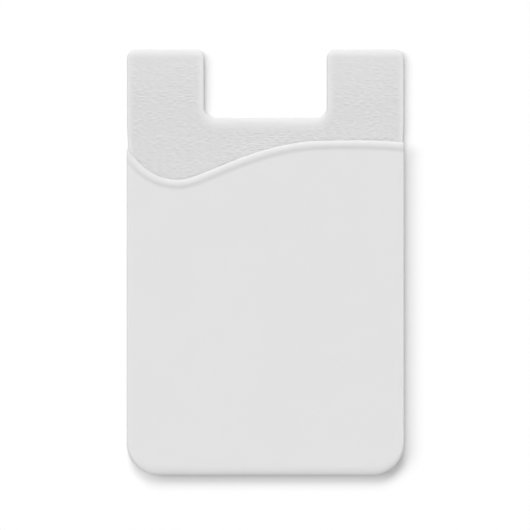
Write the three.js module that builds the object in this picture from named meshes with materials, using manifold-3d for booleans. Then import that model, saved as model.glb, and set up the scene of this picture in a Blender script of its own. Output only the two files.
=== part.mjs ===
// A stick-on card wallet for the back of a phone, in millimetres.
// One silicone moulding makes a thin back plate, with two ears beside a thumb cut-out, and a card pocket
// whose wavy mouth is edged with a raised bead. An adhesive sheet under its release liner covers the back.
// X runs across the wallet, Y towards the ears, and Z from the liner up to the front of the pocket.
// The origin is the middle of the outline, on the outer face of the liner.
import * as THREE from "three";
import Module from "manifold-3d";

const wasm = await Module();
wasm.setup();

// The bank card that the pocket is made for, and the room that it has
const cardWidth = 53.98;
const cardLength = 85.6;
const cardThickness = 0.76;
const cardSideClearance = 0.15;
const cardFaceClearance = 0.09;
const cardStandsProud = 0.8;

// Walls of the moulding
const sideWall = 0.86;
const bottomWall = 1.2;
const backThickness = 1.5;
const frontThickness = 0.65;

// Outline
const bottomCornerRadius = 6.4;
const pocketCornerRadius = 4.5;
const earCornerRadius = 1.7;
const thumbCutWidth = 24.8;
const thumbCutDepth = 13.8;
const thumbCutCornerRadius = 2.2;
const waistInset = 0.2;
const waistBelowCut = 5.1;
const waistRun = 3.6;
const waistBlendRadius = 55;

// Rounded edges: a width in the plan and, where it isn't round, a drop from the face
const backEdgeRound = 0.3;
const partingLand = 0.5;
const topRollWidth = 1.5;
const sideRollWidth = 0.3;
const bottomRollWidth = 2;
const frontRollDrop = 0.7;

// The mouth's wave, at the outer edge of its bead: a dip near the left side and a crest near the right
const crestBelowCut = 4.68;
const waveHeight = 7.91;
const dipFromSide = 10.5;
const crestFromSide = 15.5;
const leftEndBelowCrest = 1.5;
const leftEndSlope = -1.36;
const rightEndBelowCrest = 0.42;
const rightEndSlope = -0.15;

// Each curve's handles, as shares of its own run
const leftEndHandle = 0.35;
const dipLeftHandle = 0.35;
const dipRightHandle = 0.16;
const crestLeftHandle = 0.49;
const crestRightHandle = 0.1;
const rightEndHandle = 0.31;

// The bead on the mouth
const beadWidth = 1.5;
const beadRise = 0.3;
const beadCove = 0.8;
const beadUnderlap = 0.2;
const beadEndRound = 0.45;
const beadEndLand = 0.0015;
const gussetReach = 0.6;

// Back layers
const linerThickness = 0.1;
const adhesiveThickness = 0.15;
const adhesiveSideMargin = 3;
const adhesiveBottomMargin = 4;
const adhesiveBelowCut = 3.2;
const adhesiveCornerRadius = 4;
const linerOverhang = 0.5;

// Fineness of the facets
const cornerSteps = 8;
const rollSteps = 5;
const curveSteps = 18;
const beadSteps = 8;
const beadRings = 56;
const beadEndRings = 3;
const beadCurveSteps = 200;
const smallestRadius = 0.05;
const overrun = 2;

// Sizes that follow
const pocketWidth = cardWidth + 2 * cardSideClearance;
const pocketGap = cardThickness + cardFaceClearance;
const earRollDrop = backThickness - backEdgeRound - partingLand;
const halfWidth = pocketWidth / 2 + sideWall;
const halfHeight = (bottomWall + cardLength - cardStandsProud) / 2;
const cutHalfWidth = thumbCutWidth / 2;
const cutBottom = halfHeight - thumbCutDepth;

const backZ = linerThickness + adhesiveThickness;
const floorZ = backZ + backThickness;
const ceilingZ = floorZ + pocketGap;
const frontZ = ceilingZ + frontThickness;
const beadTopZ = frontZ + beadRise;

// A corner of an outline. Its roll is the width of the rounded edge along the side that leaves it.
function corner(x, y, radius, roll = 0) {
  return { at: new THREE.Vector2(x, y), radius, roll };
}

// The points of an outline, counter-clockwise, with each side moved inwards by insetOf(its first corner)
// and each corner rounded. The radius of an outer corner shrinks with the inset, and an inner one's grows.
function outline(corners, insetOf) {
  return corners.flatMap((here, index) => {
    const before = corners.at(index - 1);
    const after = corners[(index + 1) % corners.length];
    const arriving = here.at.clone().sub(before.at).normalize();
    const leaving = after.at.clone().sub(here.at).normalize();
    const turn = Math.atan2(arriving.cross(leaving), arriving.dot(leaving));
    const side = Math.sign(turn);
    const insetBefore = insetOf(before);
    const insetAfter = insetOf(here);
    const moved = leaving
      .clone()
      .multiplyScalar(insetBefore)
      .addScaledVector(arriving, -insetAfter)
      .divideScalar(arriving.cross(leaving))
      .add(here.at);
    const wanted = here.radius - (side * (insetBefore + insetAfter)) / 2;
    const radius = Math.max(smallestRadius, wanted);
    const start = moved.clone().addScaledVector(arriving, -radius * Math.tan(Math.abs(turn) / 2));
    const inwards = new THREE.Vector2(-arriving.y, arriving.x);
    const centre = start.clone().addScaledVector(inwards, side * radius);
    const steps = Math.max(2, Math.ceil((Math.abs(turn) / (Math.PI / 2)) * cornerSteps));
    return Array.from({ length: steps + 1 }, (_, step) => start.clone().rotateAround(centre, (turn * step) / steps));
  });
}

// How far in and how far up a quarter-round edge has come at each step, as shares of its width and its drop.
function quarterRound() {
  return Array.from({ length: rollSteps + 1 }, (_, step) => {
    const angle = (step / rollSteps) * (Math.PI / 2);
    return { inwards: 1 - Math.cos(angle), upwards: Math.sin(angle) };
  });
}

// The two triangulated end faces and the side faces that close rings of equally many points into a solid.
// flatFirst and flatLast are the end rings as plane outlines, counter-clockwise about the way the rings run.
function skin(rings, flatFirst, flatLast) {
  const count = rings[0].length;
  const faces = [];
  for (let ring = 1; ring < rings.length; ring++) {
    const upper = ring * count;
    const lower = upper - count;
    for (let here = 0; here < count; here++) {
      const next = (here + 1) % count;
      faces.push(lower + here, lower + next, upper + next);
      faces.push(lower + here, upper + next, upper + here);
    }
  }
  const lastRing = (rings.length - 1) * count;
  for (const [a, b, c] of THREE.ShapeUtils.triangulateShape(flatFirst, [])) {
    faces.push(c, b, a);
  }
  for (const [a, b, c] of THREE.ShapeUtils.triangulateShape(flatLast, [])) {
    faces.push(lastRing + a, lastRing + b, lastRing + c);
  }
  const vertProperties = new Float32Array(rings.flat().flatMap((point) => point.toArray()));
  const triVerts = new Uint32Array(faces);
  return new wasm.Manifold(new wasm.Mesh({ numProp: 3, vertProperties, triVerts }));
}

// A solid through flat outlines that lie at rising heights.
function loft(levels) {
  const rings = levels.map(({ points, z }) => points.map((point) => new THREE.Vector3(point.x, point.y, z)));
  return skin(rings, levels[0].points, levels.at(-1).points);
}

// A block with a small round along its back edge and each side's own roll along its top edge.
function rolledBlock(corners, topZ, rollDrop) {
  const round = quarterRound();
  const backLevels = round.toReversed().map(({ inwards, upwards }) => ({
    points: outline(corners, () => backEdgeRound * inwards),
    z: backZ + backEdgeRound * (1 - upwards),
  }));
  const topLevels = round.map(({ inwards, upwards }) => ({
    points: outline(corners, (side) => side.roll * inwards),
    z: topZ - rollDrop * (1 - upwards),
  }));
  return loft([...backLevels, ...topLevels]);
}

// The back plate with its two ears. Its sides draw in just above the pocket and stay inside the pocket's walls.
function backPlate() {
  const waist = halfWidth - waistInset;
  const waistY = cutBottom - waistBelowCut;
  const bottomY = waistInset - halfHeight;
  const bottomRadius = bottomCornerRadius - waistInset;
  const shoulderY = waistY + waistRun;
  const corners = [
    corner(waist, bottomY, bottomRadius, sideRollWidth),
    corner(waist, waistY, waistBlendRadius, sideRollWidth),
    corner(halfWidth, shoulderY, waistBlendRadius, sideRollWidth),
    corner(halfWidth, halfHeight, earCornerRadius, topRollWidth),
    corner(cutHalfWidth, halfHeight, earCornerRadius, sideRollWidth),
    corner(cutHalfWidth, cutBottom, thumbCutCornerRadius, topRollWidth),
    corner(-cutHalfWidth, cutBottom, thumbCutCornerRadius, sideRollWidth),
    corner(-cutHalfWidth, halfHeight, earCornerRadius, topRollWidth),
    corner(-halfWidth, halfHeight, earCornerRadius, sideRollWidth),
    corner(-halfWidth, shoulderY, waistBlendRadius, sideRollWidth),
    corner(-waist, waistY, waistBlendRadius, sideRollWidth),
    corner(-waist, bottomY, bottomRadius, sideRollWidth),
  ];
  return rolledBlock(corners, floorZ, earRollDrop);
}

// The corners of the pocket's outside, which runs on past its mouth.
const pocketCorners = [
  corner(-halfWidth, -halfHeight, bottomCornerRadius, bottomRollWidth),
  corner(halfWidth, -halfHeight, bottomCornerRadius, sideRollWidth),
  corner(halfWidth, halfHeight, earCornerRadius),
  corner(-halfWidth, halfHeight, earCornerRadius, sideRollWidth),
];

// The room for the card, open past the mouth.
function cardRoom() {
  const corners = [
    corner(-pocketWidth / 2, bottomWall - halfHeight, pocketCornerRadius),
    corner(pocketWidth / 2, bottomWall - halfHeight, pocketCornerRadius),
    corner(pocketWidth / 2, cutBottom, smallestRadius),
    corner(-pocketWidth / 2, cutBottom, smallestRadius),
  ];
  const points = outline(corners, () => 0);
  return loft([
    { points, z: floorZ },
    { points, z: ceilingZ },
  ]);
}

// Even steps from one value to another, without the first.
function evenSteps(from, to, count) {
  return Array.from({ length: count }, (_, step) => from + ((to - from) * (step + 1)) / count);
}

// Places along the mouth from left to right, each with its point on the bead's outer edge and the direction
// out of the pocket. Its three curves have equally many steps, and the ends run straight on past the sides.
function mouthPlaces(steps) {
  const crestY = cutBottom - crestBelowCut;
  const leftEnd = new THREE.Vector2(-halfWidth, crestY - leftEndBelowCrest);
  const dip = new THREE.Vector2(dipFromSide - halfWidth, crestY - waveHeight);
  const crest = new THREE.Vector2(halfWidth - crestFromSide, crestY);
  const rightEnd = new THREE.Vector2(halfWidth, crestY - rightEndBelowCrest);
  const stretches = [
    { from: leftEnd, to: dip, slopes: [leftEndSlope, 0], handles: [leftEndHandle, dipLeftHandle] },
    { from: dip, to: crest, slopes: [0, 0], handles: [dipRightHandle, crestLeftHandle] },
    { from: crest, to: rightEnd, slopes: [0, rightEndSlope], handles: [crestRightHandle, rightEndHandle] },
  ];
  const places = stretches.flatMap(({ from, to, slopes, handles }, index) => {
    const run = to.x - from.x;
    const shares = index === 0 ? [0, ...evenSteps(0, 1, steps)] : evenSteps(0, 1, steps);
    const handleOut = new THREE.Vector2(1, slopes[0]).multiplyScalar(run * handles[0]);
    const handleIn = new THREE.Vector2(1, slopes[1]).multiplyScalar(run * handles[1]);
    const curve = new THREE.CubicBezierCurve(from, from.clone().add(handleOut), to.clone().sub(handleIn), to);
    return shares.map((share) => {
      const along = curve.getTangent(share);
      return { point: curve.getPoint(share), outwards: new THREE.Vector2(-along.y, along.x) };
    });
  });
  const runOn = ({ point, outwards }, distance) => ({
    point: new THREE.Vector2(outwards.y, -outwards.x).multiplyScalar(distance).add(point),
    outwards,
  });
  return [runOn(places[0], -overrun), ...places, runOn(places.at(-1), overrun)];
}

// Everything below the mouth, kept back from the bead's outer edge by setback.
function belowMouth(places, setback) {
  const mouth = places.map(({ point, outwards }) => point.clone().addScaledVector(outwards, -setback));
  const reach = halfWidth + overrun;
  const bottom = -halfHeight - overrun;
  return [new THREE.Vector2(-reach, bottom), new THREE.Vector2(reach, bottom), ...mouth.toReversed()];
}

// The pocket before it is hollowed. Each side wall ends in a gusset that sweeps down onto the back plate's edge.
function pocketBlock() {
  const places = mouthPlaces(curveSteps);
  const setback = beadWidth / 2;
  const footZ = floorZ - earRollDrop;
  const gusset = quarterRound().map(({ inwards, upwards }) => ({
    points: belowMouth(places, setback - gussetReach * (1 - upwards)),
    z: footZ + (ceilingZ - footZ) * inwards,
  }));
  const below = { points: gusset[0].points, z: backZ - overrun };
  const above = { points: gusset.at(-1).points, z: frontZ + overrun };
  return rolledBlock(pocketCorners, frontZ, frontRollDrop).intersect(loft([below, ...gusset, above]));
}

// The bead's section: x is the distance into the pocket from its outer edge, y the height above the ceiling.
// A half-round nose leads over the crest and down through a cove to the pocket's front. Behind the nose the
// section reaches below the ceiling, where the card's room trims it flat.
function beadSection() {
  const crestX = beadWidth / 2;
  const crestY = frontThickness + beadRise;
  const coveEnd = beadWidth + beadCove;
  const nose = new THREE.EllipseCurve(crestX, crestY / 2, crestX, crestY / 2, -Math.PI / 2, Math.PI / 2, true);
  const flank = new THREE.CubicBezierCurve(
    new THREE.Vector2(crestX, crestY),
    new THREE.Vector2(beadWidth, crestY),
    new THREE.Vector2(beadWidth, frontThickness),
    new THREE.Vector2(coveEnd, frontThickness),
  );
  const inside = [
    new THREE.Vector2(coveEnd, -beadUnderlap),
    new THREE.Vector2(crestX, -beadUnderlap),
  ];
  return [...nose.getPoints(2 * beadSteps), ...flank.getPoints(beadSteps).slice(1), ...inside];
}

// A height on the bead once it has rolled over with the pocket's side, at a distance inside that side. The roll
// starts a hair's breadth inside, which leaves the bead's end a narrow upright land.
function rolledOver(z, inside) {
  const footZ = frontZ - frontRollDrop;
  const share = THREE.MathUtils.clamp(inside / sideRollWidth, beadEndLand / sideRollWidth, 1);
  return z > footZ ? footZ + (z - footZ) * Math.sqrt(1 - (1 - share) ** 2) : z;
}

// How far the bead's nose draws back, by a quarter circle, at a distance inside the pocket's side.
function drawnBack(inside) {
  const share = THREE.MathUtils.clamp(1 - inside / beadEndRound, 0, 1);
  return beadEndRound * (1 - Math.sqrt(1 - share ** 2));
}

// How high up the wallet a line that runs from left to right passes a place across it.
function passes(line, across) {
  const next = line.findIndex((point) => point.x > across);
  const [from, to] = line.slice(next - 1, next + 1);
  return THREE.MathUtils.mapLinear(across, from.x, to.x, from.y, to.y);
}

// The places across the wallet at which the bead has a ring, close together on its two rounded ends.
function beadAcross() {
  const onRoll = quarterRound().map(({ inwards }) => sideRollWidth * inwards);
  const onEnd = [...onRoll, ...evenSteps(sideRollWidth, beadEndRound, beadEndRings)];
  const inner = halfWidth - beadEndRound;
  const between = evenSteps(-inner, inner, beadRings).slice(0, -1);
  const left = onEnd.map((inside) => inside - halfWidth);
  const right = onEnd.toReversed().map((inside) => halfWidth - inside);
  return [...left, ...between, ...right];
}

// The bead along the mouth, from side to side. Its ends are rounded in the plan and roll over.
function bead() {
  const section = beadSection();
  const sectionReach = beadWidth + beadCove;
  const places = mouthPlaces(beadCurveSteps);
  const lines = section.map(({ x }) =>
    places.map(({ point, outwards }) => point.clone().addScaledVector(outwards, -x)),
  );
  const rings = beadAcross().map((across) => {
    const inside = halfWidth - Math.abs(across);
    return section.map(({ x, y }, index) => {
      const up = passes(lines[index], across) - drawnBack(inside) * (1 - x / sectionReach);
      return new THREE.Vector3(across, up, rolledOver(ceilingZ + y, inside));
    });
  });
  const flat = section.map(({ x, y }) => new THREE.Vector2(-x, y));
  return skin(rings, flat, flat);
}

// The whole moulding.
function sleeve() {
  return backPlate().add(pocketBlock()).add(bead()).subtract(cardRoom());
}

// A thin sheet with rounded corners on the back. grow is how far it reaches past the adhesive's outline.
function backSheet(thickness, grow) {
  const right = halfWidth - adhesiveSideMargin + grow;
  const bottom = adhesiveBottomMargin - halfHeight - grow;
  const top = cutBottom - adhesiveBelowCut + grow;
  const radius = adhesiveCornerRadius + grow;
  const corners = [
    corner(-right, bottom, radius),
    corner(right, bottom, radius),
    corner(right, top, radius),
    corner(-right, top, radius),
  ];
  const shape = new THREE.Shape(outline(corners, () => 0));
  return new THREE.ExtrudeGeometry(shape, { depth: thickness, bevelEnabled: false });
}

// A solid's triangles as a three.js geometry.
function geometryOf(solid) {
  const { vertProperties, triVerts } = solid.getMesh();
  const geometry = new THREE.BufferGeometry();
  geometry.setAttribute("position", new THREE.BufferAttribute(vertProperties, 3));
  geometry.setIndex(new THREE.BufferAttribute(triVerts, 1));
  geometry.computeVertexNormals();
  return geometry;
}

// A named piece of the wallet.
function piece(name, geometry, material) {
  const mesh = new THREE.Mesh(geometry, material);
  mesh.name = name;
  return mesh;
}

const silicone = new THREE.MeshStandardMaterial({ color: 0xe4e4e3, roughness: 0.65, metalness: 0 });
const acrylicAdhesive = new THREE.MeshStandardMaterial({ color: 0xdcdcd6, roughness: 0.3, metalness: 0 });
const glassinePaper = new THREE.MeshStandardMaterial({ color: 0xeeece2, roughness: 0.55, metalness: 0 });

const wallet = new THREE.Group();
wallet.add(piece("silicone_sleeve", geometryOf(sleeve()), silicone));
wallet.add(piece("adhesive_sheet", backSheet(adhesiveThickness, 0), acrylicAdhesive));
wallet.add(piece("release_liner", backSheet(linerThickness, linerOverhang), glassinePaper));
wallet.getObjectByName("adhesive_sheet").position.z = linerThickness;

export default wallet;
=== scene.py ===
"""A stick-on silicone card wallet, dressed for a photograph from straight above.

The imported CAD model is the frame. The silicone moulding is built again here at a finer step, from the same
sizes, with the leather-like grain that its mould gives the back plate. The adhesive sheet and its release
liner stay as the CAD makes them and get their own finishes. Sizes are in millimetres until a mesh is made.
"""

import logging
from dataclasses import dataclass, field
from enum import Enum
from itertools import product

import bpy
import numpy as np
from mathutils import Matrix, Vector, geometry


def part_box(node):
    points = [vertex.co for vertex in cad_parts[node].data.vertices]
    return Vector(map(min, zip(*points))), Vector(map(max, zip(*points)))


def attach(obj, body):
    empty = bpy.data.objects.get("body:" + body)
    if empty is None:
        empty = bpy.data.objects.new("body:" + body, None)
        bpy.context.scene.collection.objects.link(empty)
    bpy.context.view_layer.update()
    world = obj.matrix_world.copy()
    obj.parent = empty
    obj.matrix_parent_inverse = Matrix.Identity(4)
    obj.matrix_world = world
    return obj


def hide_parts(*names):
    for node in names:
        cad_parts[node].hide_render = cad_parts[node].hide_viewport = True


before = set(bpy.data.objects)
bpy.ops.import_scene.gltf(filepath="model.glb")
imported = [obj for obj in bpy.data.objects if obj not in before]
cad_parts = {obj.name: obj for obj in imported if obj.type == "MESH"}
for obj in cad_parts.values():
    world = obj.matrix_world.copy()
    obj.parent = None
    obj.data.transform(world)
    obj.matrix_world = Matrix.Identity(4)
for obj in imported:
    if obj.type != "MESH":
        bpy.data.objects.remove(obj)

logging.basicConfig(level=logging.INFO, format="%(message)s")
log = logging.getLogger("card_wallet")

MM = 0.001
# The stored grain strength, by which the silicone paints a shade on the grained face.
GRAIN_SHADE_ATTRIBUTE = "grain"
KEEP_INSIDE_BORDER = 1
MERGE_DISTANCE = 1e-7


class Join(Enum):
    """How one solid acts on another."""

    ADD = "UNION"
    KEEP_COMMON = "INTERSECT"
    CUT = "DIFFERENCE"


# Shared geometry


def ease(values: np.ndarray, low: float, high: float) -> np.ndarray:
    """An even ramp from 0 at low to 1 at high, with level ends: 3t squared less 2t cubed.

    Args:
        values: where the ramp is wanted.
        low: the value at which it starts.
        high: the value at which it ends.

    Returns:
        The ramp at each value.
    """
    share = np.clip((values - low) / (high - low), 0.0, 1.0)
    return share * share * (3.0 - 2.0 * share)


def quarter_round(steps: int) -> tuple[np.ndarray, np.ndarray]:
    """A quarter-round edge: inwards by 1 - cos(angle) while it rises by sin(angle).

    Args:
        steps: how many facets the quarter has.

    Returns:
        The inwards and the upwards shares, each from 0 to 1.
    """
    angle = np.linspace(0.0, np.pi / 2.0, steps + 1)
    return 1.0 - np.cos(angle), np.sin(angle)


def rolled(height: np.ndarray, inside: np.ndarray, width: float, foot: float) -> np.ndarray:
    """A height as it rolls over towards an edge, by the same quarter round.

    With t the share of the roll's width, what stands above the foot is scaled by the root of 1 - (1 - t)
    squared, which is 0 at the edge and 1 where the roll ends.

    Args:
        height: the height that each point would have without the roll.
        inside: how far each point is inside the edge.
        width: how wide the roll is.
        foot: the height at which the roll starts.

    Returns:
        The rolled heights. Heights below the foot stay as they are.
    """
    share = np.clip(inside / width, 0.0, 1.0)
    rise = np.sqrt(1.0 - (1.0 - share) ** 2)
    return np.where(height > foot, foot + (height - foot) * rise, height)


def bezier(points: np.ndarray, shares: np.ndarray) -> tuple[np.ndarray, np.ndarray]:
    """A cubic curve by its four control points, weighted by the cubic Bernstein terms.

    Args:
        points: four control points, one a row.
        shares: where along the curve, from 0 to 1.

    Returns:
        The places and the directions of travel there.
    """
    t = shares[:, None]
    s = 1.0 - t
    start, first, second, end = points
    places = s**3 * start + 3.0 * s * s * t * first + 3.0 * s * t * t * second + t**3 * end
    travel = 3.0 * (s * s * (first - start) + 2.0 * s * t * (second - first) + t * t * (end - second))
    return places, travel


def ring_quads(rings: int, count: int) -> np.ndarray:
    """The quads between successive rings of equally many points.

    Args:
        rings: how many rings there are.
        count: how many points a ring has.

    Returns:
        One row of four point numbers for each quad, facing out of rings that run counter-clockwise upwards.
    """
    lower = count * np.arange(rings - 1)[:, None]
    here = np.arange(count)[None, :]
    following = (here + 1) % count
    quads = np.stack([lower + here, lower + following, lower + count + following, lower + count + here], -1)
    return quads.reshape(-1, 4)


def solid(name: str, points: np.ndarray, faces: list) -> bpy.types.Object:
    """An object at the origin with its place in its mesh.

    Args:
        name: the object's name.
        points: its points in millimetres, one a row.
        faces: its faces as lists of point numbers.

    Returns:
        The object, linked to the scene.
    """
    mesh = bpy.data.meshes.new(name)
    mesh.from_pydata((points * MM).tolist(), [], faces)
    mesh.update()
    body = bpy.data.objects.new(name, mesh)
    bpy.context.scene.collection.objects.link(body)
    return body


def closed_loft(name: str, rings: np.ndarray) -> bpy.types.Object:
    """A solid through rings of equally many points, closed by a flat face at each end.

    Args:
        name: the object's name.
        rings: points by ring, point and axis, counter-clockwise about the way the rings run.

    Returns:
        The solid.
    """
    levels, count, _ = rings.shape
    quads = ring_quads(levels, count).tolist()
    first = np.arange(count)[::-1].tolist()
    last = ((levels - 1) * count + np.arange(count)).tolist()
    return solid(name, rings.reshape(-1, 3), [*quads, first, last])


def at_heights(outlines: np.ndarray, heights: np.ndarray) -> np.ndarray:
    """Flat outlines put at their heights.

    Args:
        outlines: outlines by ring, point and axis in the plan.
        heights: one height for each outline.

    Returns:
        The rings in three dimensions.
    """
    lifted = np.broadcast_to(heights[:, None, None], (*outlines.shape[:2], 1))
    return np.concatenate([outlines, lifted], axis=-1)


def combine(base: bpy.types.Object, join: Join, tool: bpy.types.Object) -> None:
    """Joins one closed solid to another, or cuts it by it, and drops the tool.

    Args:
        base: the solid that is changed.
        join: what the tool does to it.
        tool: the solid that acts on it and is used up.
    """
    modifier = base.modifiers.new(join.name, "BOOLEAN")
    modifier.operation = join.value
    modifier.solver = "MANIFOLD"
    modifier.object = tool
    depsgraph = bpy.context.evaluated_depsgraph_get()
    result = bpy.data.meshes.new_from_object(base.evaluated_get(depsgraph))
    base.modifiers.clear()
    base.data = result
    bpy.data.objects.remove(tool)


@dataclass(frozen=True)
class EdgeLevels:
    """The heights of a block's back and top, and how its edges are rounded."""

    back: float
    top: float
    roll_drop: float
    back_round: float = 0.3
    back_steps: int = 4
    roll_steps: int = 12


@dataclass(frozen=True)
class Corner:
    """A corner of an outline, with the width of the rounded edge along the side that leaves it."""

    x: float
    y: float
    radius: float
    roll: float = 0.0


@dataclass(frozen=True)
class Outline:
    """A closed outline of straight sides and rounded corners, counter-clockwise."""

    corners: tuple[Corner, ...]
    arc_steps: int = 16
    side_step: float = 1.0
    smallest_radius: float = 0.05

    def inset(self, share: float, further: float = 0.0) -> np.ndarray:
        """The outline with each side moved in by its own roll.

        A corner moves to where its two moved sides meet. Its radius shrinks by the mean inset on an outer
        corner and grows by it on an inner one. The points between corners share out each side evenly.

        Args:
            share: the share of each side's roll that it moves by.
            further: how much further in each side moves, in millimetres.

        Returns:
            The outline's points, as many for every inset.
        """
        at = np.array([(corner.x, corner.y) for corner in self.corners])
        leaving = np.roll(at, -1, axis=0) - at
        lengths = np.linalg.norm(leaving, axis=1)
        leaving = leaving / lengths[:, None]
        arriving = np.roll(leaving, 1, axis=0)
        cross = arriving[:, 0] * leaving[:, 1] - arriving[:, 1] * leaving[:, 0]
        turn = np.arctan2(cross, np.sum(arriving * leaving, axis=1))
        inset_after = np.array([corner.roll for corner in self.corners]) * share + further
        inset_before = np.roll(inset_after, 1)
        moved = at + (leaving * inset_before[:, None] - arriving * inset_after[:, None]) / cross[:, None]
        wanted = np.array([corner.radius for corner in self.corners])
        wanted = wanted - np.sign(turn) * (inset_before + inset_after) / 2.0
        radius = np.maximum(self.smallest_radius, wanted)
        start = moved - arriving * (radius * np.tan(np.abs(turn) / 2.0))[:, None]
        inwards = np.stack([-arriving[:, 1], arriving[:, 0]], axis=-1)
        centre = start + inwards * (np.sign(turn) * radius)[:, None]
        angle = turn[:, None] * np.linspace(0.0, 1.0, self.arc_steps + 1)[None, :]
        spoke = (start - centre)[:, None, :]
        across = np.cos(angle) * spoke[..., 0] - np.sin(angle) * spoke[..., 1]
        up = np.sin(angle) * spoke[..., 0] + np.cos(angle) * spoke[..., 1]
        arcs = np.stack([across, up], axis=-1) + centre[:, None, :]
        counts = np.ceil(lengths / self.side_step).astype(int)
        pieces = [self._arc_and_side(arcs, index, count) for index, count in enumerate(counts)]
        return np.concatenate(pieces)

    def _arc_and_side(self, arcs: np.ndarray, index: int, count: int) -> np.ndarray:
        """One corner's arc and the points within the side after it.

        Args:
            arcs: every corner's arc.
            index: the corner's number.
            count: how many steps the side has.

        Returns:
            The points in order.
        """
        shares = np.linspace(0.0, 1.0, count + 1)[1:-1, None]
        end = arcs[index, -1]
        following = arcs[(index + 1) % len(arcs), 0]
        return np.concatenate([arcs[index], end + (following - end) * shares])

    def rolled_rings(self, levels: EdgeLevels) -> np.ndarray:
        """The rings of a block with a small round at the back and each side's own roll on top.

        Args:
            levels: the heights and the fineness of the block's edges.

        Returns:
            The rings from the back to the top.
        """
        inwards, upwards = quarter_round(levels.back_steps)
        back = np.stack([self.inset(0.0, levels.back_round * share) for share in inwards[::-1]])
        back_heights = levels.back + levels.back_round * (1.0 - upwards[::-1])
        inwards, upwards = quarter_round(levels.roll_steps)
        top = np.stack([self.inset(share) for share in inwards])
        top_heights = levels.top - levels.roll_drop * (1.0 - upwards)
        return at_heights(np.concatenate([back, top]), np.concatenate([back_heights, top_heights]))


# The silicone moulding


@dataclass(frozen=True)
class Levels:
    """The heights of the moulding's layers, from the frame's own box."""

    back: float
    bead_top: float
    back_thickness: float = 1.5
    front_thickness: float = 0.65
    bead_rise: float = 0.3
    front_roll_drop: float = 0.7
    back_edge_round: float = 0.3
    parting_land: float = 0.5

    @property
    def floor(self) -> float:
        """The face of the back plate, on which the card lies."""
        return self.back + self.back_thickness

    @property
    def front(self) -> float:
        """The face of the pocket's front."""
        return self.bead_top - self.bead_rise

    @property
    def ceiling(self) -> float:
        """The inside of the pocket's front."""
        return self.front - self.front_thickness

    @property
    def roll_foot(self) -> float:
        """Where the pocket's edges start to roll over."""
        return self.front - self.front_roll_drop

    @property
    def ear_roll_drop(self) -> float:
        """How much of the plate's thickness its rounded edge takes."""
        return self.back_thickness - self.back_edge_round - self.parting_land


@dataclass(frozen=True)
class Grain:
    """The mould's leather-like grain: flat lens-shaped cells with creases between, and fine wrinkles."""

    cell_length: float = 2.0
    cell_height: float = 0.5
    cell_jitter: float = 0.75
    crease_depth: float = 0.088
    crease_share: float = 0.65
    wrinkle_length: float = 1.5
    wrinkle_height: float = 0.32
    wrinkle_depth: float = 0.03
    sway_length: float = 1.3
    sway_height: float = 0.9
    sway: float = 0.16
    table_size: int = 128
    seed: int = 7

    def _heights(self, x: np.ndarray, y: np.ndarray, stream: int) -> np.ndarray:
        """Soft random heights, 0 to 1: a lattice's four nearest values blended by the even ramp.

        Args:
            x: places across, in lattice steps.
            y: places up, in lattice steps.
            stream: which of the seeded tables is used.

        Returns:
            The height at each place.
        """
        table = np.random.default_rng(self.seed + stream).random((self.table_size, self.table_size))
        column = np.floor(x).astype(int)
        row = np.floor(y).astype(int)
        left, right = column % self.table_size, (column + 1) % self.table_size
        low, high = row % self.table_size, (row + 1) % self.table_size
        across = ease(x - column, 0.0, 1.0)
        lower = table[low, left] + (table[low, right] - table[low, left]) * across
        upper = table[high, left] + (table[high, right] - table[high, left]) * across
        return lower + (upper - lower) * ease(y - row, 0.0, 1.0)

    def _crown(self, x: np.ndarray, y: np.ndarray) -> np.ndarray:
        """How far a place has come from the creases between cells to the crown of its own.

        Each lattice cell has one seed, off its middle at random. The distance to the second nearest seed
        less that to the nearest is 0 on a crease, and the even ramp rounds the crown over.

        Args:
            x: places across, in cells.
            y: places up, in cells.

        Returns:
            0 on a crease and 1 on a crown.
        """
        size = self.table_size
        seeds = 0.5 + self.cell_jitter * (np.random.default_rng(self.seed).random((2, size, size)) - 0.5)
        column = np.floor(x).astype(int)
        row = np.floor(y).astype(int)
        distances = []
        for right, up in product((-1, 0, 1), repeat=2):
            cell = ((row + up) % size, (column + right) % size)
            seed_x = column + right + seeds[0][cell]
            seed_y = row + up + seeds[1][cell]
            distances.append(np.hypot(x - seed_x, y - seed_y))
        nearest, second = np.sort(np.stack(distances), axis=0)[:2]
        return ease(second - nearest, 0.0, self.crease_share)

    def depth(self, x: np.ndarray, y: np.ndarray) -> np.ndarray:
        """How deep the grain lies under the plate's face.

        Args:
            x: places across, in millimetres.
            y: places up, in millimetres.

        Returns:
            The depth in millimetres.
        """
        swayed = y + self.sway * (self._heights(x / self.sway_length, y / self.sway_height, 1) - 0.5)
        crown = self._crown(x / self.cell_length, swayed / self.cell_height)
        wrinkle = self._heights(x / self.wrinkle_length, swayed / self.wrinkle_height, 2)
        return self.crease_depth * (1.0 - crown) + self.wrinkle_depth * (1.0 - wrinkle)


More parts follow.
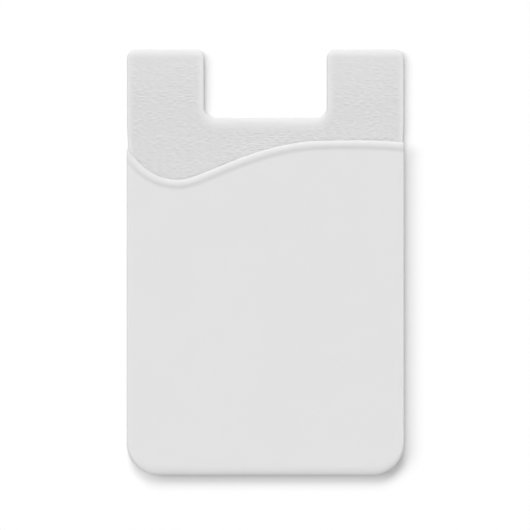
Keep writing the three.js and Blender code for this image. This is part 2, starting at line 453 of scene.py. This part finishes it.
@dataclass(frozen=True)
class BackPlate:
    """The plate that sticks to the phone, with two ears beside the thumb cut-out."""

    half_width: float
    half_height: float
    levels: Levels
    grain: Grain = field(default_factory=Grain)
    corner_radius: float = 6.4
    ear_corner_radius: float = 1.7
    cut_width: float = 24.8
    cut_depth: float = 13.8
    cut_corner_radius: float = 2.2
    waist_inset: float = 0.2
    waist_below_cut: float = 5.1
    waist_run: float = 3.6
    waist_blend_radius: float = 55.0
    top_roll: float = 1.5
    side_roll: float = 0.3
    grained_above: float = 13.5
    grain_step_across: float = 0.26
    grain_step_up: float = 0.13
    hidden_step: float = 2.5
    rim_margin: float = 0.3
    ring_step: float = 0.26
    # How far in from each edge the grain starts, and where it has come to its depth.
    grain_from_left: tuple[float, float] = (0.1, 1.6)
    grain_from_right: tuple[float, float] = (0.1, 1.5)
    grain_from_top: tuple[float, float] = (0.9, 2.4)
    grain_beside_cut: tuple[float, float] = (0.3, 1.6)
    grain_below_cut: tuple[float, float] = (-0.3, 2.0)
    grain_deepens: tuple[float, float] = (1.5, 12.0)
    faint_share: float = 0.6

    @property
    def cut_bottom(self) -> float:
        """How high the thumb cut-out's lower edge lies."""
        return self.half_height - self.cut_depth

    @property
    def waist(self) -> float:
        """Half the plate's width where it enters the pocket."""
        return self.half_width - self.waist_inset

    @property
    def waist_y(self) -> float:
        """How high the sides have drawn in to the waist."""
        return self.cut_bottom - self.waist_below_cut

    def outline(self) -> Outline:
        """The plate's outline, from its lower right corner round to its lower left one."""
        side, top = self.side_roll, self.top_roll
        blend = self.waist_blend_radius
        cut_side = self.cut_width / 2.0
        bottom = self.waist_inset - self.half_height
        bottom_radius = self.corner_radius - self.waist_inset
        shoulder = self.waist_y + self.waist_run
        corners = (
            Corner(self.waist, bottom, bottom_radius, side),
            Corner(self.waist, self.waist_y, blend, side),
            Corner(self.half_width, shoulder, blend, side),
            Corner(self.half_width, self.half_height, self.ear_corner_radius, top),
            Corner(cut_side, self.half_height, self.ear_corner_radius, side),
            Corner(cut_side, self.cut_bottom, self.cut_corner_radius, top),
            Corner(-cut_side, self.cut_bottom, self.cut_corner_radius, side),
            Corner(-cut_side, self.half_height, self.ear_corner_radius, top),
            Corner(-self.half_width, self.half_height, self.ear_corner_radius, side),
            Corner(-self.half_width, shoulder, blend, side),
            Corner(-self.waist, self.waist_y, blend, side),
            Corner(-self.waist, bottom, bottom_radius, side),
        )
        return Outline(corners, side_step=self.ring_step)

    def inside_cut(
        self, x: np.ndarray, y: np.ndarray, wider: float = 0.0, deeper: float = 0.0,
    ) -> np.ndarray:
        """How far a place lies from the rounded thumb cut-out, into the plate.

        Args:
            x: places across.
            y: places up.
            wider: how much further out the cut-out's sides count from.
            deeper: how much lower its bottom counts from.

        Returns:
            The distances, from the centre of the cut-out's rounded corner.
        """
        radius = self.cut_corner_radius + (wider + deeper) / 2.0
        beside = np.maximum(np.abs(x) - (self.cut_width / 2.0 + wider - radius), 0.0)
        below = np.maximum(self.cut_bottom - deeper + radius - y, 0.0)
        return np.hypot(beside, below) - radius

    def inside_rim(self, x: np.ndarray, y: np.ndarray) -> np.ndarray:
        """How far a place lies inside the rounded edges, where the plate's face is flat.

        Args:
            x: places across.
            y: places up.

        Returns:
            The least of the distances to the sides, the top, the cut-out and the rounded bottom.
        """
        widen = np.clip((y - self.waist_y) / self.waist_run, 0.0, 1.0)
        side = self.waist + self.waist_inset * widen - self.side_roll
        radius = self.corner_radius - self.waist_inset - self.side_roll
        bottom = self.waist_inset + self.side_roll - self.half_height
        beside = np.abs(x) - (side - radius)
        below = bottom + radius - y
        corner = np.hypot(np.maximum(beside, 0.0), np.maximum(below, 0.0))
        inside_bottom = radius - corner - np.minimum(np.maximum(beside, below), 0.0)
        inside_top = self.half_height - self.top_roll - y
        inside_cut = self.inside_cut(x, y, self.side_roll, self.top_roll)
        return np.minimum.reduce([inside_bottom, inside_top, inside_cut])

    def grain_and_shade_amount(self, x: np.ndarray, y: np.ndarray) -> np.ndarray:
        """How strongly the grain shows: not on the smooth rims, faintly at the ears' tops, then fully. It
        sets both the grain's depth and the painted shade that the silicone lays on the grained face.

        Args:
            x: places across.
            y: places up.

        Returns:
            0 where the face is smooth and 1 where the grain is at its full depth.
        """
        down = self.half_height - y
        left = ease(x + self.half_width, *self.grain_from_left)
        right = ease(self.half_width - x, *self.grain_from_right)
        top = ease(down, *self.grain_from_top)
        beside_cut = ease(self.inside_cut(x, y), *self.grain_beside_cut)
        below_cut = ease(self.inside_cut(x, y, 0.0, self.top_roll), *self.grain_below_cut)
        strength = self.faint_share + (1.0 - self.faint_share) * ease(down, *self.grain_deepens)
        return left * right * beside_cut * below_cut * strength * top

    def fill_points(self) -> np.ndarray:
        """The points within the plate's face: close in the grained zone, wide under the pocket.

        Returns:
            The points, every second row moved by half a step.
        """
        reach = self.half_width
        hidden = self.hidden_step
        zones = [
            (self.grained_above, self.half_height, self.grain_step_across, self.grain_step_up),
            (-self.half_height, self.grained_above - hidden / 2.0, hidden, hidden),
        ]
        points = []
        for low, high, across, up in zones:
            rows = np.arange(low, high, up)
            columns = np.arange(-reach, reach, across)
            y, x = np.meshgrid(rows, columns, indexing="ij")
            stagger = np.where(np.arange(len(rows)) % 2 == 0, 0.0, across / 2.0)[:, None]
            points.append(np.stack([(x + stagger).ravel(), y.ravel()], axis=-1))
        points = np.concatenate(points)
        inside = self.inside_rim(points[:, 0], points[:, 1])
        return points[inside > self.rim_margin]

    def build(self) -> bpy.types.Object:
        """The plate: rings round its edge, a flat back, and a face filled by Delaunay triangles.

        Returns:
            The closed solid, with the grain pressed into its face.
        """
        levels = self.levels
        edges = EdgeLevels(levels.back, levels.floor, levels.ear_roll_drop, levels.back_edge_round)
        rings = self.outline().rolled_rings(edges)
        count = rings.shape[1]
        rim = rings[-1, :, :2]
        fill = self.fill_points()
        flat = np.concatenate([rim, fill])
        borders = np.stack([np.arange(count), (np.arange(count) + 1) % count], axis=-1)
        filled = geometry.delaunay_2d_cdt(flat.tolist(), borders.tolist(), [],
                                          KEEP_INSIDE_BORDER, MERGE_DISTANCE)
        before = (len(rings) - 1) * count
        face = (np.array(filled[2]) + before).tolist()
        face_points = np.column_stack([fill, np.full(len(fill), levels.floor)])
        points = np.concatenate([rings.reshape(-1, 3), face_points])
        x, y, z = points.T
        on_top = z > levels.back + levels.back_edge_round + levels.parting_land
        pressed = self.grain.depth(x, y) * self.grain_and_shade_amount(x, y)
        points[:, 2] = np.where(on_top, z - pressed, z)
        quads = ring_quads(len(rings), count).tolist()
        back = np.arange(count)[::-1].tolist()
        return solid("back_plate", points, [*quads, back, *face])


@dataclass(frozen=True)
class Mouth:
    """The pocket's mouth, at its bead's outer edge: a dip near the left side and a crest near the right."""

    half_width: float
    cut_bottom: float
    crest_below_cut: float = 4.68
    wave_height: float = 7.91
    dip_from_side: float = 10.5
    crest_from_side: float = 15.5
    left_end_below_crest: float = 1.5
    left_end_slope: float = -1.36
    right_end_below_crest: float = 0.42
    right_end_slope: float = -0.15
    left_handles: tuple[float, float] = (0.35, 0.35)
    middle_handles: tuple[float, float] = (0.16, 0.49)
    right_handles: tuple[float, float] = (0.1, 0.31)
    steps: int = 120
    overrun: float = 2.0

    def places(self) -> tuple[np.ndarray, np.ndarray]:
        """The mouth from left to right as three cubic curves that share their tangents where they meet.

        Returns:
            Points on the bead's outer edge, and the direction out of the pocket at each.
        """
        crest_y = self.cut_bottom - self.crest_below_cut
        knots = np.array([
            (-self.half_width, crest_y - self.left_end_below_crest),
            (self.dip_from_side - self.half_width, crest_y - self.wave_height),
            (self.half_width - self.crest_from_side, crest_y),
            (self.half_width, crest_y - self.right_end_below_crest),
        ])
        slopes = (self.left_end_slope, 0.0, 0.0, self.right_end_slope)
        shares = np.linspace(0.0, 1.0, self.steps + 1)
        points, travels = [], []
        for index, handles in enumerate((self.left_handles, self.middle_handles, self.right_handles)):
            start, end = knots[index], knots[index + 1]
            run = end[0] - start[0]
            first = start + np.array([1.0, slopes[index]]) * run * handles[0]
            second = end - np.array([1.0, slopes[index + 1]]) * run * handles[1]
            curve, travel = bezier(np.stack([start, first, second, end]), shares[min(index, 1):])
            points.append(curve)
            travels.append(travel)
        along = np.concatenate(travels)
        along = along / np.linalg.norm(along, axis=1)[:, None]
        line = np.concatenate(points)
        before = line[:1] - along[:1] * self.overrun
        after = line[-1:] + along[-1:] * self.overrun
        line = np.concatenate([before, line, after])
        along = np.concatenate([along[:1], along, along[-1:]])
        return line, np.stack([-along[:, 1], along[:, 0]], axis=-1)


@dataclass(frozen=True)
class Pocket:
    """The card pocket: its front and walls, the bead on its mouth, and the room inside."""

    half_width: float
    half_height: float
    levels: Levels
    mouth: Mouth
    corner_radius: float = 6.4
    side_wall: float = 0.86
    bottom_wall: float = 1.2
    inner_corner_radius: float = 4.5
    side_roll: float = 0.3
    bottom_roll: float = 2.0
    bead_width: float = 1.5
    bead_cove: float = 0.8
    bead_underlap: float = 0.2
    end_round: float = 0.45
    end_land: float = 0.0015
    gusset_reach: float = 0.6
    floor_overlap: float = 0.15
    block_margin: float = 0.4
    open_corner_radius: float = 0.05
    corner_steps: int = 28
    roll_steps: int = 16
    room_step: float = 4.0
    nose_steps: int = 24
    flank_steps: int = 18
    gusset_steps: int = 8
    end_steps: int = 14
    rings: int = 400
    overrun: float = 2.0

    def outline(self) -> Outline:
        """The pocket's outside, running on past its mouth."""
        radius = self.corner_radius
        corners = (
            Corner(-self.half_width, -self.half_height, radius, self.bottom_roll),
            Corner(self.half_width, -self.half_height, radius, self.side_roll),
            Corner(self.half_width, self.half_height, self.side_wall),
            Corner(-self.half_width, self.half_height, self.side_wall, self.side_roll),
        )
        return Outline(corners, arc_steps=self.corner_steps)

    def block(self) -> bpy.types.Object:
        """The pocket before it is shaped at its mouth, with a flat margin inside its roll."""
        levels = self.levels
        edges = EdgeLevels(levels.back, levels.front, levels.front_roll_drop, levels.back_edge_round,
                           roll_steps=self.roll_steps)
        outline = self.outline()
        rings = outline.rolled_rings(edges)
        margin = at_heights(outline.inset(1.0, self.block_margin)[None], np.array([levels.front]))
        return closed_loft("pocket_block", np.concatenate([rings, margin]))

    def below_mouth(self) -> bpy.types.Object:
        """Everything below the mouth, with a gusset that sweeps down onto the plate's edge at each side.

        The gusset is a quarter round from the ceiling down to where the plate's own edge starts to roll.
        """
        levels = self.levels
        foot = levels.floor - levels.ear_roll_drop
        inwards, upwards = quarter_round(self.gusset_steps)
        setbacks = self.bead_width / 2.0 - self.gusset_reach * (1.0 - upwards)
        heights = foot + (levels.ceiling - foot) * inwards
        setbacks = np.concatenate([setbacks[:1], setbacks, setbacks[-1:]])
        heights = np.concatenate([[levels.back - self.overrun], heights, [levels.bead_top + self.overrun]])
        line, outwards = self.mouth.places()
        curves = line[None] - outwards[None] * setbacks[:, None, None]
        reach = self.half_width + self.overrun
        bottom = -self.half_height - self.overrun
        base = np.broadcast_to(np.array([(-reach, bottom), (reach, bottom)]), (len(setbacks), 2, 2))
        outlines = np.concatenate([base, curves[:, ::-1]], axis=1)
        return closed_loft("below_mouth", at_heights(outlines, heights))

    def bead_section(self) -> np.ndarray:
        """The bead's section as distance into the pocket and height above the ceiling.

        A half-ellipse nose leads over the crest, and a cubic curve down through a cove to the front. Behind
        the nose the section reaches below the ceiling, where the card's room trims it flat.

        Returns:
            The section's points in order.
        """
        crest_x = self.bead_width / 2.0
        crest_y = self.levels.front_thickness + self.levels.bead_rise
        cove_end = self.bead_width + self.bead_cove
        front = self.levels.front_thickness
        angle = np.linspace(-np.pi / 2.0, -3.0 * np.pi / 2.0, self.nose_steps + 1)
        nose = np.stack([crest_x * (1.0 + np.cos(angle)), crest_y / 2.0 * (1.0 + np.sin(angle))], axis=-1)
        controls = np.array([
            (crest_x, crest_y),
            (self.bead_width, crest_y),
            (self.bead_width, front),
            (cove_end, front),
        ])
        flank, _ = bezier(controls, np.linspace(0.0, 1.0, self.flank_steps + 1))
        inside = np.array([(cove_end, -self.bead_underlap), (crest_x, -self.bead_underlap)])
        return np.concatenate([nose, flank[1:], inside])

    def bead_across(self) -> np.ndarray:
        """The places across at which the bead has a ring, close together on its rounded ends."""
        on_roll = self.side_roll * quarter_round(self.end_steps)[0]
        past_roll = np.linspace(self.side_roll, self.end_round, self.end_steps)[1:-1]
        left = np.concatenate([on_roll, past_roll]) - self.half_width
        inner = self.half_width - self.end_round
        return np.concatenate([left, np.linspace(-inner, inner, self.rings), -left[::-1]])

    def bead(self) -> bpy.types.Object:
        """The bead: a ring of its section at each place across, found on the lines that follow the mouth.

        Towards each side the nose draws back by a quarter circle while the cove's end stays where it is,
        and the heights roll over. The roll starts a hair's breadth inside, which leaves a narrow upright
        land.
        """
        levels = self.levels
        section = self.bead_section()
        line, outwards = self.mouth.places()
        follow = line[None] - outwards[None] * section[:, 0, None, None]
        across = self.bead_across()
        up = np.stack([np.interp(across, one[:, 0], one[:, 1]) for one in follow], axis=-1)
        inside = self.half_width - np.abs(across)[:, None]
        short = np.clip(1.0 - inside / self.end_round, 0.0, 1.0)
        drawn_back = self.end_round * (1.0 - np.sqrt(1.0 - short**2))
        up = up - drawn_back * (1.0 - section[:, 0] / section[:, 0].max())
        height = np.broadcast_to(levels.ceiling + section[:, 1], up.shape)
        height = rolled(height, np.maximum(inside, self.end_land), self.side_roll, levels.roll_foot)
        rings = np.stack([np.broadcast_to(across[:, None], up.shape), up, height], axis=-1)
        return closed_loft("mouth_bead", rings)

    def card_room(self) -> bpy.types.Object:
        """The room for the card, open past the mouth, down to just under the grained face of the plate."""
        right = self.half_width - self.side_wall
        bottom = self.bottom_wall - self.half_height
        corners = (
            Corner(-right, bottom, self.inner_corner_radius),
            Corner(right, bottom, self.inner_corner_radius),
            Corner(right, self.mouth.cut_bottom, self.open_corner_radius),
            Corner(-right, self.mouth.cut_bottom, self.open_corner_radius),
        )
        ring = Outline(corners, side_step=self.room_step).inset(0.0)
        heights = np.array([self.levels.floor - self.floor_overlap, self.levels.ceiling])
        return closed_loft("card_room", at_heights(np.stack([ring, ring]), heights))

    def build(self) -> bpy.types.Object:
        """The hollow pocket with its bead, as one closed solid."""
        pocket = self.block()
        combine(pocket, Join.KEEP_COMMON, self.below_mouth())
        combine(pocket, Join.ADD, self.bead())
        combine(pocket, Join.CUT, self.card_room())
        return pocket


@dataclass(frozen=True)
class SiliconeSleeve:
    """The whole moulding, which stands for its CAD node."""

    node: str = "silicone_sleeve"
    crease_angle: float = 38.0
    face_tolerance: float = 0.01

    def build(self, material: bpy.types.Material) -> bpy.types.Object:
        """Builds the moulding in the node's own box and dresses it.

        Args:
            material: the silicone.

        Returns:
            The finished piece.
        """
        low, high = (np.array(corner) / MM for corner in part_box(self.node))
        levels = Levels(back=low[2], bead_top=high[2])
        plate = BackPlate(high[0], high[1], levels)
        mouth = Mouth(high[0], plate.cut_bottom)
        pocket = Pocket(high[0], high[1], levels, mouth)
        sleeve = plate.build()
        combine(sleeve, Join.ADD, pocket.build())
        sleeve.name = "moulded_sleeve"
        sleeve.data.name = "moulded_sleeve"
        sleeve.data.materials.clear()
        sleeve.data.materials.append(material)
        self._mark_grain_shade(sleeve.data, plate)
        sleeve.data.shade_smooth()
        sleeve.data.set_sharp_from_angle(angle=np.radians(self.crease_angle))
        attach(sleeve, "root")
        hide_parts(self.node)
        return sleeve

    def _mark_grain_shade(self, mesh: bpy.types.Mesh, plate: BackPlate) -> None:
        """Stores how strongly the plate's face is grained, by which the silicone's material paints the
        grain's shade.

        Args:
            mesh: the finished moulding.
            plate: the plate, which knows where its grain lies.
        """
        points = np.empty(3 * len(mesh.vertices), np.float32)
        mesh.vertices.foreach_get("co", points)
        x, y, z = points.reshape(-1, 3).T.astype(float) / MM
        levels = plate.levels
        on_face = (z > levels.floor - levels.ear_roll_drop) & (z < levels.floor + self.face_tolerance)
        amount = np.where(on_face, plate.grain_and_shade_amount(x, y), 0.0)
        attribute = mesh.attributes.new(GRAIN_SHADE_ATTRIBUTE, "FLOAT", "POINT")
        attribute.data.foreach_set("value", amount.astype(np.float32))


# Finishes


def linear_colour(code: str) -> tuple[float, float, float, float]:
    """Turns an sRGB hex colour to the linear one that a shader takes.

    Args:
        code: six hex digits.

    Returns:
        Linear red, green, blue and alpha.
    """
    channels = np.array([int(code[start:start + 2], 16) for start in (0, 2, 4)]) / 255.0
    linear = np.where(channels <= 0.04045, channels / 12.92, ((channels + 0.055) / 1.055) ** 2.4)
    return (*linear.tolist(), 1.0)


def add_node(tree: bpy.types.NodeTree, kind: str, inputs: dict | None = None, **settings) -> bpy.types.Node:
    """Adds a shader node with its settings, values and links.

    Args:
        tree: the node tree.
        kind: the node's type.
        inputs: a value or an output socket for each input, by name or number.
        settings: the node's own properties.

    Returns:
        The node.
    """
    node = tree.nodes.new(kind)
    for name, value in settings.items():
        setattr(node, name, value)
    for name, value in (inputs or {}).items():
        if isinstance(value, bpy.types.NodeSocket):
            tree.links.new(value, node.inputs[name])
        else:
            node.inputs[name].default_value = value
    return node


def new_material(name: str) -> tuple[bpy.types.Material, bpy.types.NodeTree]:
    """An empty node material.

    Args:
        name: the material's name.

    Returns:
        The material and its node tree.
    """
    material = bpy.data.materials.new(name)
    material.use_nodes = True
    material.node_tree.nodes.clear()
    return material, material.node_tree


@dataclass(frozen=True)
class MouldedSilicone:
    """White silicone rubber from a blasted steel mould: matte, a little translucent, with soft edges."""

    colour: str = "E4E4E4"
    cloudy_colour: str = "E2E2E2"
    # A painted shade: the grained face's colour is darker to stand for the shade in its fine creases.
    grain_shade_colour: str = "DADADA"
    cloud_size: float = 9.0
    # A blasted mould leaves grit about 0.03 mm wide, too fine to show here, so it is drawn coarser.
    grit_size: float = 0.11
    grit_depth: float = 0.004
    roughness: tuple[float, float] = (0.6, 0.68)
    ior: float = 1.41
    specular_level: float = 0.35
    translucency: float = 0.25
    scatter_length: float = 0.8

    def build(self) -> bpy.types.Material:
        """Faint clouds in the colour, a greyer tone painted over the grain as the shade of its fine creases,
        and the mould's grit as bump.
        """
        material, tree = new_material("moulded_white_silicone")
        place = add_node(tree, "ShaderNodeTexCoord").outputs["Object"]
        clouds = add_node(tree, "ShaderNodeTexNoise",
                          {"Vector": place, "Scale": 1.0 / (self.cloud_size * MM), "Detail": 3.0})
        smooth = add_node(tree, "ShaderNodeMix",
                          {0: clouds.outputs["Fac"], 6: linear_colour(self.colour),
                           7: linear_colour(self.cloudy_colour)}, data_type="RGBA")
        # The grain mask darkens the colour towards a painted shade that stands for the shading in the
        # grain's creases, too fine to show.
        grained = add_node(tree, "ShaderNodeAttribute", attribute_name=GRAIN_SHADE_ATTRIBUTE)
        colour = add_node(tree, "ShaderNodeMix",
                          {0: grained.outputs["Fac"], 6: smooth.outputs[2],
                           7: linear_colour(self.grain_shade_colour)}, data_type="RGBA")
        grit = add_node(tree, "ShaderNodeTexNoise",
                        {"Vector": place, "Scale": 1.0 / (self.grit_size * MM), "Detail": 2.0})
        bump = add_node(tree, "ShaderNodeBump",
                        {"Height": grit.outputs["Fac"], "Strength": 1.0, "Distance": self.grit_depth * MM})
        gloss = add_node(tree, "ShaderNodeMapRange",
                         {"Value": clouds.outputs["Fac"], 3: self.roughness[0], 4: self.roughness[1]})
        surface = add_node(tree, "ShaderNodeBsdfPrincipled",
                           {"Base Color": colour.outputs[2], "Roughness": gloss.outputs[0], "IOR": self.ior,
                            "Specular IOR Level": self.specular_level,
                            "Subsurface Weight": self.translucency, "Subsurface Radius": (1.0, 1.0, 1.0),
                            "Subsurface Scale": self.scatter_length * MM, "Normal": bump.outputs[0]})
        add_node(tree, "ShaderNodeOutputMaterial", {"Surface": surface.outputs[0]})
        return material


@dataclass(frozen=True)
class GlassinePaper:
    """Glassine release paper: calendered until it shines a little, with a faint cloud of fibres."""

    colour: str = "EFEDE4"
    fibre_colour: str = "E4E1D4"
    # Single fibres are too fine to show, so these are the drawn-out clouds that they form.
    fibre_length: float = 3.0
    fibre_width: float = 0.5
    fibre_depth: float = 0.006
    tangle: float = 0.6
    roughness: float = 0.42
    ior: float = 1.5

    def build(self) -> bpy.types.Material:
        """Fibres as stretched noise in the colour and, faintly, in the surface."""
        material, tree = new_material("glassine_release_paper")
        place = add_node(tree, "ShaderNodeTexCoord").outputs["Object"]
        stretched = add_node(tree, "ShaderNodeMapping",
                             {"Vector": place, "Scale": (1.0 / (self.fibre_width * MM),
                                                         1.0 / (self.fibre_length * MM), 1.0)})
        fibres = add_node(tree, "ShaderNodeTexNoise",
                          {"Vector": stretched.outputs[0], "Scale": 1.0, "Detail": 4.0,
                           "Distortion": self.tangle})
        colour = add_node(tree, "ShaderNodeMix",
                          {0: fibres.outputs["Fac"], 6: linear_colour(self.colour),
                           7: linear_colour(self.fibre_colour)}, data_type="RGBA")
        bump = add_node(tree, "ShaderNodeBump",
                        {"Height": fibres.outputs["Fac"], "Strength": 1.0,
                         "Distance": self.fibre_depth * MM})
        surface = add_node(tree, "ShaderNodeBsdfPrincipled",
                           {"Base Color": colour.outputs[2], "Roughness": self.roughness,
                            "IOR": self.ior, "Normal": bump.outputs[0]})
        add_node(tree, "ShaderNodeOutputMaterial", {"Surface": surface.outputs[0]})
        return material


@dataclass(frozen=True)
class AcrylicAdhesive:
    """A sheet of acrylic adhesive: milky and wet-looking, with a slight wave from the coating."""

    colour: str = "DEDDD4"
    streak_colour: str = "D5D4C9"
    streak_size: float = 4.0
    streak_depth: float = 0.02
    roughness: float = 0.22
    ior: float = 1.47
    translucency: float = 0.2
    scatter_length: float = 0.5

    def build(self) -> bpy.types.Material:
        """Broad coating streaks in the colour and in the surface."""
        material, tree = new_material("acrylic_adhesive_sheet")
        place = add_node(tree, "ShaderNodeTexCoord").outputs["Object"]
        streaks = add_node(tree, "ShaderNodeTexNoise",
                           {"Vector": place, "Scale": 1.0 / (self.streak_size * MM), "Detail": 2.0})
        colour = add_node(tree, "ShaderNodeMix",
                          {0: streaks.outputs["Fac"], 6: linear_colour(self.colour),
                           7: linear_colour(self.streak_colour)}, data_type="RGBA")
        bump = add_node(tree, "ShaderNodeBump",
                        {"Height": streaks.outputs["Fac"], "Strength": 1.0,
                         "Distance": self.streak_depth * MM})
        surface = add_node(tree, "ShaderNodeBsdfPrincipled",
                           {"Base Color": colour.outputs[2], "Roughness": self.roughness,
                            "IOR": self.ior, "Subsurface Weight": self.translucency,
                            "Subsurface Scale": self.scatter_length * MM, "Normal": bump.outputs[0]})
        add_node(tree, "ShaderNodeOutputMaterial", {"Surface": surface.outputs[0]})
        return material


# Studio


@dataclass(frozen=True)
class SoftBox:
    """A far lamp as wide as a soft box, so that its shadows have broad edges."""

    name: str
    toward: tuple[float, float, float]
    share: float
    angle: float
    lights_only: str | None = None

    def build(self) -> None:
        """Hangs the lamp. Its strength gives the floor its share of full white."""
        toward = np.array(self.toward) / np.linalg.norm(self.toward)
        lamp = bpy.data.lights.new(self.name, "SUN")
        lamp.energy = np.pi * self.share / toward[2]
        lamp.angle = np.radians(self.angle)
        holder = bpy.data.objects.new(self.name, lamp)
        holder.rotation_euler = Vector(toward).to_track_quat("Z", "Y").to_euler()
        bpy.context.scene.collection.objects.link(holder)
        if self.lights_only:
            lit = bpy.data.collections.new(f"lit_by_{self.name}")
            lit.objects.link(bpy.data.objects[self.lights_only])
            holder.light_linking.receiver_collection = lit


@dataclass(frozen=True)
class Studio:
    """A white floor and sky, soft boxes overhead and beyond the ears, and one for the floor's shadow."""

    floor_reach: float = 3000.0
    floor_colour: str = "DEDEDE"
    floor_lift: float = 0.06
    world_strength: float = 0.38
    lamps: tuple[SoftBox, ...] = (
        SoftBox("overhead_soft_box", (0.0, 0.0, 1.0), 0.2, 40.0),
        SoftBox("top_soft_box", (-0.15, 0.85, 1.0), 0.41, 30.0),
        SoftBox("shadow_soft_box", (-0.85, 0.35, 1.0), 0.3, 34.0, "floor"),
    )

    def build(self) -> None:
        """Builds the floor, the world and the lamps."""
        self._floor()
        self._world()
        for lamp in self.lamps:
            lamp.build()

    def _seen_directly(self, tree: bpy.types.NodeTree) -> bpy.types.NodeSocket:
        """1 for what the camera sees, itself or through gloss and glass, and 0 for light on its way.

        Args:
            tree: the node tree.

        Returns:
            The socket that holds it.
        """
        path = add_node(tree, "ShaderNodeLightPath").outputs
        seen = add_node(tree, "ShaderNodeMath",
                        {0: path["Is Camera Ray"], 1: path["Is Glossy Ray"]}, operation="MAXIMUM")
        seen = add_node(tree, "ShaderNodeMath",
                        {0: seen.outputs[0], 1: path["Is Transmission Ray"]}, operation="MAXIMUM")
        return seen.outputs[0]

    def _floor(self) -> None:
        """A flat white floor that keeps the shadow, lifted to full white where nothing shades it."""
        signs = np.array([(-1.0, -1.0, 0.0), (1.0, -1.0, 0.0), (1.0, 1.0, 0.0), (-1.0, 1.0, 0.0)])
        floor = solid("floor", signs * self.floor_reach, [[0, 1, 2, 3]])
        material, tree = new_material("white_floor")
        matte = add_node(tree, "ShaderNodeBsdfDiffuse", {"Color": linear_colour(self.floor_colour)})
        lift = add_node(tree, "ShaderNodeMath",
                        {0: self._seen_directly(tree), 1: self.floor_lift}, operation="MULTIPLY")
        glow = add_node(tree, "ShaderNodeEmission", {"Strength": lift.outputs[0]})
        both = add_node(tree, "ShaderNodeAddShader", {0: matte.outputs[0], 1: glow.outputs[0]})
        add_node(tree, "ShaderNodeOutputMaterial", {"Surface": both.outputs[0]})
        floor.data.materials.append(material)

    def _world(self) -> None:
        """An even white sky: full white where it is seen, weaker as light."""
        world = bpy.data.worlds.new("white_sky")
        world.use_nodes = True
        tree = world.node_tree
        tree.nodes.clear()
        strength = add_node(tree, "ShaderNodeMapRange",
                            {"Value": self._seen_directly(tree), 3: self.world_strength, 4: 1.0})
        sky = add_node(tree, "ShaderNodeBackground",
                       {"Color": (1.0, 1.0, 1.0, 1.0), "Strength": strength.outputs[0]})
        add_node(tree, "ShaderNodeOutputWorld", {"Surface": sky.outputs[0]})
        bpy.context.scene.world = world


@dataclass(frozen=True)
class CopyStand:
    """The camera, straight above the wallet with a long lens."""

    view_span: float = 107.1
    subject_height: float = 1.8
    lens: float = 300.0
    sensor: float = 36.0
    aim: tuple[float, float] = (-0.1, -0.61)
    clip_shares: tuple[float, float] = (0.1, 20.0)

    def build(self) -> None:
        """Hangs the camera so that the view spans its width at the height of the pocket's front."""
        data = bpy.data.cameras.new("copy_stand_camera")
        data.lens = self.lens
        data.sensor_width = self.sensor
        distance = self.view_span * self.lens / self.sensor
        data.clip_start = self.clip_shares[0] * distance * MM
        data.clip_end = self.clip_shares[1] * distance * MM
        camera = bpy.data.objects.new("copy_stand_camera", data)
        camera.location = np.array([*self.aim, self.subject_height + distance]) * MM
        bpy.context.scene.collection.objects.link(camera)
        bpy.context.scene.camera = camera


# Dressing and sizes


def dress_node(node: str, material: bpy.types.Material) -> None:
    """Gives a CAD node its finish.

    Args:
        node: the node's name.
        material: what it is made of.
    """
    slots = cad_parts[node].data.materials
    slots.clear()
    slots.append(material)
    log.info("%s: dressed in %s", node, material.name)


def report(piece: bpy.types.Object) -> None:
    """Logs a piece's size and how many triangles it has.

    Args:
        piece: the finished piece.
    """
    mesh = piece.data
    mesh.calc_loop_triangles()
    size = " x ".join(f"{side / MM:.2f}" for side in piece.dimensions)
    log.info("%s: %s mm, %d triangles", piece.name, size, len(mesh.loop_triangles))


def main() -> None:
    """Builds the studio, the camera and the pieces, and logs the moulding's size and triangles."""
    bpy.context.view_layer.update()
    bpy.context.scene.view_settings.view_transform = "Standard"
    Studio().build()
    CopyStand().build()
    report(SiliconeSleeve().build(MouldedSilicone().build()))
    dress_node("adhesive_sheet", AcrylicAdhesive().build())
    dress_node("release_liner", GlassinePaper().build())


if __name__ == "__main__":
    main()
